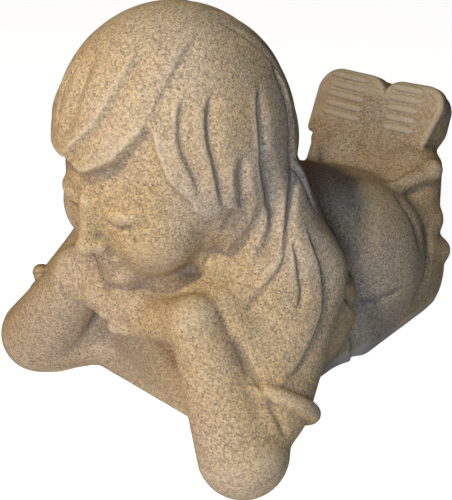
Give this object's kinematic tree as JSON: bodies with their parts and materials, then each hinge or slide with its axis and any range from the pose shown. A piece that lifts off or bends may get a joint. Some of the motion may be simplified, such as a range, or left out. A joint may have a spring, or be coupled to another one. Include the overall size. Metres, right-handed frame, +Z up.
{
  "type": "child garden statue",
  "caption": "Cast-stone garden statue of a long-haired child lying on its front, chin resting on folded hands, shoes raised behind.",
  "frame": {"origin": "middle of the bounding box on the flat underside", "axes": "+Z up; the child lies along Y with its head at -Y and its shoes at +Y, and its left side is +X"},
  "size_m": [0.273, 0.3828, 0.2862],
  "materials": {
    "cast_stone": "rough sand-cast surface with dark and light grains"
  },
  "bodies": {
    "root": {"child_statue": "cast_stone"}
  },
  "joints": []
}
